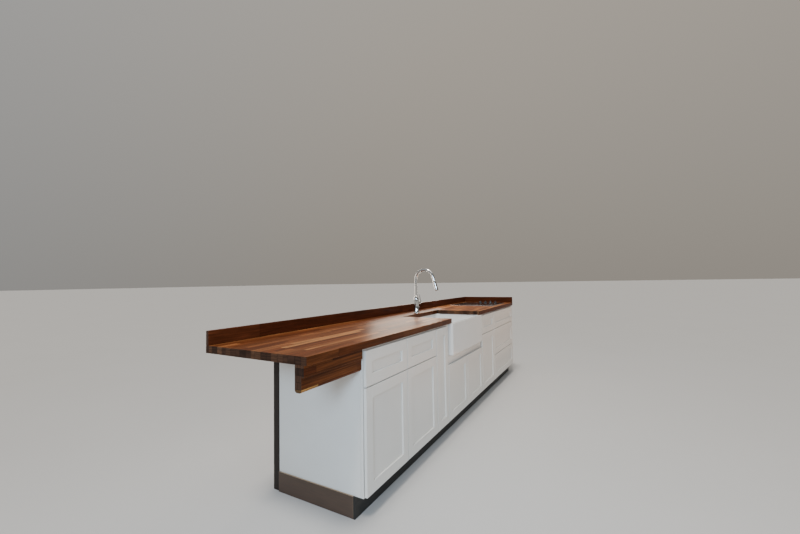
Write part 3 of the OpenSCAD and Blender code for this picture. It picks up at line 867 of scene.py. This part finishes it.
# cabinets: an eased copy of each board, runner and box
easedNodes = {  # slot: its nodes with their material and the width of their easing
    "cabinet_paint": {
        "end_panel": (cabinetPaint, 0.0014), "far_filler": (cabinetPaint, 0.0012),
        "left_uprights": (cabinetPaint, 0.0014), "right_uprights": (cabinetPaint, 0.0014),
        "frame_rails": (cabinetPaint, 0.0008), "drawer_upright": (cabinetPaint, 0.0008),
    },
    "toe_paint": {
        # the toe board is given painted shade
        "toe_board": (toeDark, 0.0008), "toe_skin": (toeStain, 0.0010), "scribe_strip": (scribeStain, 0.0010),
    },
    "cabinet_board": {
        "cabinet_sides": (uprightBoard, 0.0005), "cabinet_floors": (longBoard, 0.0005),
        "cabinet_backs": (uprightBoard, 0.0004), "fixing_rails": (longBoard, 0.0008),
        "sink_bearers": (deepBoard, 0.0010), "plinth_rails": (longBoard, 0.0008),
        "plinth_cross_pieces": (deepBoard, 0.0008),
    },
    "runner_steel": {"drawer_runners": (runnerSteel, 0.0015), "burner_box": (runnerSteel, 0.0015)},
}
drawerBoxes = {node: (deepBoard, 0.0015) for node in frame["nodes"] if node.endswith("_drawer_box")}
for slotName, nodes in [*easedNodes.items(), ("cabinet_board", drawerBoxes)]:
    for node, (material, width) in nodes.items():
        settle(easeEdges(copyOfNode(node), width), node, material, slotName)
print("cabinets made")

# sink
sinkMake = {"wall": 0.022, "floor": 0.025, "cornerRadius": 0.018, "bowlRadius": 0.045, "floorRadius": 0.030,
            "rim": 0.005, "drainRadius": 0.0445}


def makeSink():
    low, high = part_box("sink")
    wall = Vector((sinkMake["wall"], sinkMake["wall"], 0))
    bottom = low.z + sinkMake["floor"]
    body = addBlock("sinkBody", low, high)
    roundUprights(body, sinkMake["cornerRadius"], 10)
    bowlLow, bowlHigh = low + wall + Vector((0, 0, sinkMake["floor"])), high - wall + Vector((0, 0, 0.05))
    bowl = addBlock("sinkBowl", bowlLow, bowlHigh)
    roundUprights(bowl, sinkMake["bowlRadius"], 12)
    bevelPicked(lambda e: all(near(v.co.z, bottom) for v in e.verts), sinkMake["floorRadius"], 8)
    cutAway(body, bowl)
    cutAway(body, addRod(footOf(low, high), sinkMake["drainRadius"], 0.2, 48))
    easeEdges(body, sinkMake["rim"], 4, 50)
    selectOnly(body)
    applyStep(body, "WEIGHTED_NORMAL", keep_sharp=True, weight=60)
    body.name = "apronSink"
    return body


settle(makeSink(), "sink", sinkGlaze, "sink_glaze")

strainerMake = {"cup": 0.044, "outletLength": 0.040, "outletBore": 0.0175, "outletRadius": 0.019,
                "basketDrop": 0.022, "holeRadius": 0.0021, "holeRings": ((0.031, 20), (0.021, 14))}


def makeStrainer():
    # a flanged cup with its outlet, and a pressed basket with a knob and two rings of holes
    low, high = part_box("sink_strainer")
    foot, rim = footOf(low, high), high.z - low.z
    cup, outletTop, bore = strainerMake["cup"], strainerMake["outletLength"], strainerMake["outletBore"]
    pipe = strainerMake["outletRadius"]
    shellProfile = [
        (bore, 0.0), (pipe, 0.0), (pipe, outletTop), (0.0435, outletTop), (cup, outletTop + 0.001),
        (cup, rim - 0.003), (0.0520, rim - 0.003), (0.0525, rim - 0.0022), (0.0518, rim - 0.0008),
        (0.0500, rim), (0.0450, rim - 0.0006), (0.0425, rim - 0.003), (0.0415, rim - 0.010),
        (0.0400, rim - 0.040), (0.0360, outletTop + 0.004), (bore, outletTop + 0.0015), (bore, 0.0),
    ]
    shell = turnedPiece("strainerShell", shellProfile, foot, steps=56)
    dish = rim - strainerMake["basketDrop"]
    basketProfile = [
        (0.0, dish - 0.0015), (0.0365, dish - 0.0015), (0.0405, dish + 0.006), (0.0412, dish + 0.0065),
        (0.0378, dish), (0.0120, dish), (0.0085, dish + 0.002), (0.0060, dish + 0.008),
        (0.0058, dish + 0.014), (0.0085, dish + 0.016), (0.0085, dish + 0.0185), (0.0060, dish + 0.0200),
        (0.0, dish + 0.0202),
    ]
    basket = turnedPiece("basket", basketProfile, foot, steps=48)
    drills = []
    for ring, count in strainerMake["holeRings"]:
        for i in range(count):
            turn = 2 * math.pi * i / count
            place = foot + Vector((ring * math.cos(turn), ring * math.sin(turn), dish))
            drills.append(addRod(place, strainerMake["holeRadius"], 0.01, 12))
    cutAway(basket, joinPieces("basketDrill", drills))
    selectOnly(basket)
    smoothBelow(35)
    return joinPieces("sinkStrainer", [shell, basket])


settle(makeStrainer(), "sink_strainer", tapChrome, "runner_steel")
print("sink made")

# tap
tapMake = {"neckRadius": 0.013, "archRadius": 0.092, "archSteps": 40, "neckSides": 40,
           "headLean": math.radians(16), "headLength": 0.097, "tailLength": 0.040, "hubLength": 0.020}
leverMake = {"pivotRadius": 0.008, "length": 0.088, "halfThick": 0.0035, "halfWide": 0.0070,
             "footNarrow": 0.62, "tipThin": 0.62, "tipRadius": 0.0062, "eased": 0.0012}
tapLow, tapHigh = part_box("tap_body")
tapAt, tapHeight = footOf(tapLow, tapHigh), tapHigh.z - tapLow.z
bodyProfile = [
    (0.0, 0.0), (0.0270, 0.0), (0.0270, 0.0035), (0.0262, 0.0052), (0.0246, 0.0060), (0.0240, 0.0072),
    (0.0240, 0.0740), (0.0236, 0.0745), (0.0236, 0.0752), (0.0240, 0.0757), (0.0240, tapHeight - 0.0330),
    (0.0236, tapHeight - 0.0270), (0.0222, tapHeight - 0.0170), (0.0196, tapHeight - 0.0080),
    (0.0176, tapHeight - 0.0030), (0.0160, tapHeight - 0.0008), (0.0150, tapHeight), (0.0, tapHeight),
]
settle(turnedPiece("tapBody", bodyProfile, tapAt, steps=64), "tap_body", tapChrome, "tap_chrome")

lean, archRadius = tapMake["headLean"], tapMake["archRadius"]
spoutLow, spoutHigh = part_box("tap_spout")
archZ = spoutHigh.z - archRadius - tapMake["neckRadius"]
archEnd = Vector((tapAt.x, tapAt.y - archRadius * (1 + math.cos(lean)), archZ + archRadius * math.sin(lean)))


def makeSpout():
    # a neck that rises, bends over in an arch and has a swivel ring at its foot
    foot, firstRise = Vector((tapAt.x, tapAt.y, spoutLow.z)), 0.004
    clearSelection()
    bpy.ops.mesh.primitive_circle_add(vertices=tapMake["neckSides"], radius=tapMake["neckRadius"],
                                      fill_type="NGON", location=foot)
    piece = bpy.context.object
    applyPlace()
    editMode()
    bpy.ops.mesh.select_mode(type="FACE")
    selectAll()
    for rise in (firstRise, archZ - spoutLow.z - firstRise):
        bpy.ops.mesh.extrude_region_move(TRANSFORM_OT_translate={"value": (0, 0, rise)})
    bpy.ops.mesh.spin(steps=tapMake["archSteps"], angle=lean - math.pi,
                      center=(tapAt.x, tapAt.y - archRadius, archZ), axis=(1, 0, 0))
    weldAll()
    objectMode()
    smoothBelow(40)
    ringProfile = [(0.0129, 0.0), (0.0156, 0.0), (0.0160, 0.0006), (0.0160, 0.0052), (0.0154, 0.0060),
                   (0.0129, 0.0066), (0.0129, 0.0)]
    return joinPieces("tapSpout", [piece, turnedPiece("swivelRing", ringProfile, foot, steps=48)])


def makeSprayHead():
    # leans on from the arch's end: a straight tube, a collar and a flared head with a rubber face
    head = tapMake["headLength"]
    whole = head + tapMake["tailLength"]
    mouth = archEnd - whole * Vector((0, math.sin(lean), math.cos(lean)))
    shellProfile = [  # from the mouth up
        (0.0, 0.0012), (0.0118, 0.0012), (0.0124, 0.0), (0.0152, 0.0), (0.0160, 0.0012), (0.0160, 0.0120),
        (0.0156, 0.0124), (0.0156, 0.0132), (0.0160, 0.0136), (0.0160, 0.0300), (0.0156, 0.0520),
        (0.0150, 0.0760), (0.0146, head - 0.0080), (0.0142, head - 0.0074), (0.0142, head - 0.0066),
        (0.0146, head - 0.0060), (0.0145, head - 0.0010), (0.0136, head), (0.0130, head + 0.0004),
        (0.0130, whole), (0.0, whole),
    ]
    faceProfile = [(0.0, 0.0004), (0.0108, 0.0004), (0.0114, 0.0010), (0.0114, 0.0020), (0.0, 0.0020)]
    shell = painted(turnedPiece("sprayShell", shellProfile, mouth, (-lean, 0, 0), 48), tapChrome)
    face = painted(turnedPiece("sprayFace", faceProfile, mouth, (-lean, 0, 0), 32), nozzleRubber)
    return joinPieces("sprayHead", [shell, face])


settle(makeSpout(), "tap_spout", tapChrome, "tap_chrome")
settle(makeSprayHead(), "spray_head", None, "tap_chrome")

# the hub and the lever stand out from the body's side, in the directions of their joints
hubAt, hubAxis = [Vector(jointOf["warmth_turn"][key]) for key in ("pos_m", "axis")]
leverAt, tiltAxis = [Vector(jointOf["flow_tilt"][key]) for key in ("pos_m", "axis")]
leverTurn = Matrix((hubAxis, tiltAxis, hubAxis.cross(tiltAxis))).transposed().to_euler()
hubLength = tapMake["hubLength"]
hubProfile = [(0.0, 0.0), (0.0144, 0.0), (0.0150, 0.0008), (0.0150, hubLength - 0.0024),
              (0.0144, hubLength - 0.0008), (0.0132, hubLength), (0.0, hubLength)]
hubPiece = turnedPiece("tapHub", hubProfile, hubAt, hubAxis.to_track_quat("Z", "Y").to_euler(), 40)
settle(hubPiece, "tap_hub", tapChrome, "tap_chrome")


def makeLever():
    # modelled upright with its pivot at the origin: narrow at the pivot, wide and thin at the tip
    tip, halfThick, halfWide = leverMake["length"], leverMake["halfThick"], leverMake["halfWide"]

    def acrossTip(edge):
        run = edgeRun(edge)
        return edgeMiddle(edge).z > tip - 0.001 and abs(run.x) > 0.5 * run.length

    clearSelection()
    bpy.ops.mesh.primitive_uv_sphere_add(segments=32, ring_count=16, radius=leverMake["pivotRadius"])
    ball = bpy.context.object
    bpy.ops.object.shade_smooth()
    bar = addBlock("leverBar", (-halfThick, -halfWide, 0.0), (halfThick, halfWide, tip))
    scaleEnd(-1, (1.0, leverMake["footNarrow"], 1.0))
    scaleEnd(1, (leverMake["tipThin"], 1.0, 1.0))
    bevelPicked(acrossTip, leverMake["tipRadius"], 8)
    easeEdges(bar, leverMake["eased"], 3, 40)
    return setAt(joinPieces("tapLever", [ball, bar]), leverAt, leverTurn)


settle(makeLever(), "tap_lever", tapChrome, "tap_chrome")
print("tap made")

# cooktop
hobMake = {"trimWidth": 0.006, "trimHeight": 0.0062, "cornerRadius": 0.010, "glassRadius": 0.006,
           "eased": 0.0010, "trimEased": 0.0014}
hobLow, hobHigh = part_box("cooktop")
hobMid = (hobLow + hobHigh) / 2
heatRings = [  # x and y from the cooktop's middle, radius
    (-0.165, -0.125, 0.092), (-0.165, 0.125, 0.072), (0.075, 0.125, 0.092), (0.075, -0.125, 0.072),
    (-0.165, -0.125, 0.094), (0.075, 0.125, 0.094),
]
ringPlaces = [(hobMid.x + x, hobMid.y + y, radius) for x, y, radius in heatRings]
cooktopGlass = glassMaterial("cooktopGlass", glassLook, ringPlaces)


def makeCooktop():
    # a glass plate in a thin metal edge
    inset, past = Vector((hobMake["trimWidth"], hobMake["trimWidth"], 0)), Vector((0, 0, 0.01))
    glass = addBlock("glassPlate", hobLow + inset, hobHigh - inset)
    roundUprights(glass, hobMake["glassRadius"], 6)
    easeEdges(glass, hobMake["eased"])
    trim = addBlock("hobTrim", hobLow, (hobHigh.x, hobHigh.y, hobLow.z + hobMake["trimHeight"]))
    roundUprights(trim, hobMake["cornerRadius"], 8)
    hole = addBlock("trimHole", hobLow + inset - past, hobHigh - inset + past)
    roundUprights(hole, hobMake["glassRadius"], 6)
    cutAway(trim, hole)
    easeEdges(trim, hobMake["trimEased"], 3, 50)
    return joinPieces("cooktopPlate", [painted(glass, cooktopGlass), painted(trim, trimSteel)])


settle(makeCooktop(), "cooktop", None, "cooktop_glass")

knobMake = {"radius": 0.019, "skirt": 0.011, "height": 0.022, "gripWidth": 0.009, "gripRadius": 0.0034,
            "gripEased": 0.0007, "pointerWidth": 0.0014, "pointerHeight": 0.0012, "pointerEased": 0.0002}


def makeKnob():
    # modelled round its own axis at the origin: a turned skirt, a ring and a rounded grip with a pointer
    r, h, top = knobMake["radius"], knobMake["skirt"], knobMake["height"]
    gripSide, pointerSide = knobMake["gripWidth"] / 2, knobMake["pointerWidth"] / 2
    skirtProfile = [(0.0, 0.0), (r, 0.0), (r, 0.0030), (r - 0.0008, 0.0036), (r - 0.0008, 0.0044),
                    (r - 0.0002, 0.0050), (r - 0.0012, h - 0.0016), (r - 0.0028, h), (0.0, h)]
    ringProfile = [(r - 0.0020, 0.0004), (r, 0.0004), (r, 0.0022), (r - 0.0004, 0.0027), (r - 0.0020, 0.0027),
                   (r - 0.0020, 0.0004)]
    skirt = turnedPiece("knobSkirt", skirtProfile, (0, 0, 0), steps=56)
    ring = turnedPiece("knobRing", ringProfile, (0, 0, 0), steps=56)
    grip = addBlock("knobGrip", (-r + 0.0008, -gripSide, 0.004), (r - 0.0008, gripSide, top))
    roundUprights(grip, knobMake["gripRadius"], 6)
    scaleEnd(1, (0.97, 0.72, 1.0))
    easeEdges(grip, knobMake["gripEased"], 3, 40)
    pointer = addBlock("knobPointer", (-r + 0.0020, -pointerSide, top - knobMake["pointerHeight"]),
                       (-r + 0.0120, pointerSide, top))
    easeEdges(pointer, knobMake["pointerEased"], 1)
    for part in (skirt, grip):
        painted(part, knobPlastic)
    for part in (ring, pointer):
        painted(part, trimSteel)
    return joinPieces("knob", [skirt, ring, grip, pointer])


firstKnob = makeKnob()
for number in (1, 2, 3, 4):
    place = footOf(*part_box(f"knob_{number}"))
    settle(placeCopy(firstKnob, f"knob{number}", place), f"knob_{number}", None, "knob_plastic")
bpy.data.objects.remove(firstKnob)
print("cooktop made")

# floor and studio light
stageMake = {"floorSize": 400, "floorDrop": 0.0005, "coolSide": (0.90, 0.95, 1.0),
             "warmSide": (1.0, 0.91, 0.79), "horizon": 0.30, "zenith": 0.50, "frontShare": 0.55}
floorLook = {"colour": (0.56, 0.555, 0.545), "roughness": 0.75}
sunMake = {"place": (-3, -3, 4), "towards": (0.85, 0.10, -2.0), "power": 2.2, "colour": (1.0, 0.94, 0.86)}
sunWidth = 14  # degrees


def makeFloor():
    clearSelection()
    bpy.ops.mesh.primitive_plane_add(size=stageMake["floorSize"], location=(0, 0, -stageMake["floorDrop"]))
    floor = bpy.context.object
    floor.name = "studioFloor"
    applyPlace()
    material, shader = startMaterial("studioFloor", floorLook)
    cloud = noiseOf(material, pointOf(material), 0.8, 3.0)
    feed(material, shader, Base_Color=toneOf(material, cloud, floorLook["colour"], (0.3, 0.98), (0.7, 1.0)))
    return painted(floor, material)


def makeSky():
    # paler overhead, dimmer in front, cool on one side and warm on the other
    world = bpy.context.scene.world or bpy.data.worlds.new("studio")
    bpy.context.scene.world = world
    world.use_nodes = True
    at = axesOf(world, "Generated")
    power = times(world, fade(world, at["Z"], 0.0, 0.9, stageMake["horizon"], stageMake["zenith"]),
                  fade(world, at["Y"], -0.85, -0.38, stageMake["frontShare"], 1.0))
    colour = blendOf(world, "MIX", fade(world, at["X"], -0.4, 0.8), (*stageMake["coolSide"], 1.0),
                     (*stageMake["warmSide"], 1.0))
    feed(world, world.node_tree.nodes["Background"], Color=colour, Strength=power)


def addLight(kind, name, place, towards, power, colour):
    clearSelection()
    turn = Vector(towards).to_track_quat("-Z", "Y").to_euler()
    bpy.ops.object.light_add(type=kind, location=place, rotation=turn)
    lamp = bpy.context.object
    lamp.name = name
    lamp.data.energy = power
    lamp.data.color = colour
    return lamp


floor = makeFloor()
makeSky()
daylight = addLight("SUN", "daylight", **sunMake)
daylight.data.angle = math.radians(sunWidth)

softLights = {  # place, point looked at, width, height, power in watts, colour, spread in degrees
    "roomLight": ((-5.0, -1.7, 2.2), (-1.2, -0.3, 0.55), 1.1, 0.9, 48.0, (0.60, 0.79, 1.0), 120),
    "topLight": ((0.4, -0.3, 3.2), (0.2, 0.0, 0.9), 3.2, 1.2, 20.0, (1.0, 0.95, 0.88), 180),
    "frontLight": ((-2.6, -3.0, 1.7), (0.0, -0.33, 0.55), 0.45, 0.30, 9.0, (0.92, 0.96, 1.0), 140),
    "backLight": ((0.75, 0.62, 1.25), (0.1, -0.6, 0.9), 1.0, 0.5, 10.0, (1.0, 0.88, 0.74), 180),
    "warmLight": ((1.6, -2.0, 0.02), (1.6, -2.0, 1.0), 2.2, 1.2, 24.0, (1.0, 0.50, 0.20), 180),
}
for name, (place, target, width, height, power, colour, spread) in softLights.items():
    lamp = addLight("AREA", name, place, Vector(target) - Vector(place), power, colour)
    lamp.data.shape = "RECTANGLE"
    lamp.data.size = width
    lamp.data.size_y = height
    lamp.data.spread = math.radians(spread)
    lamp.visible_camera = False
print("studio made")
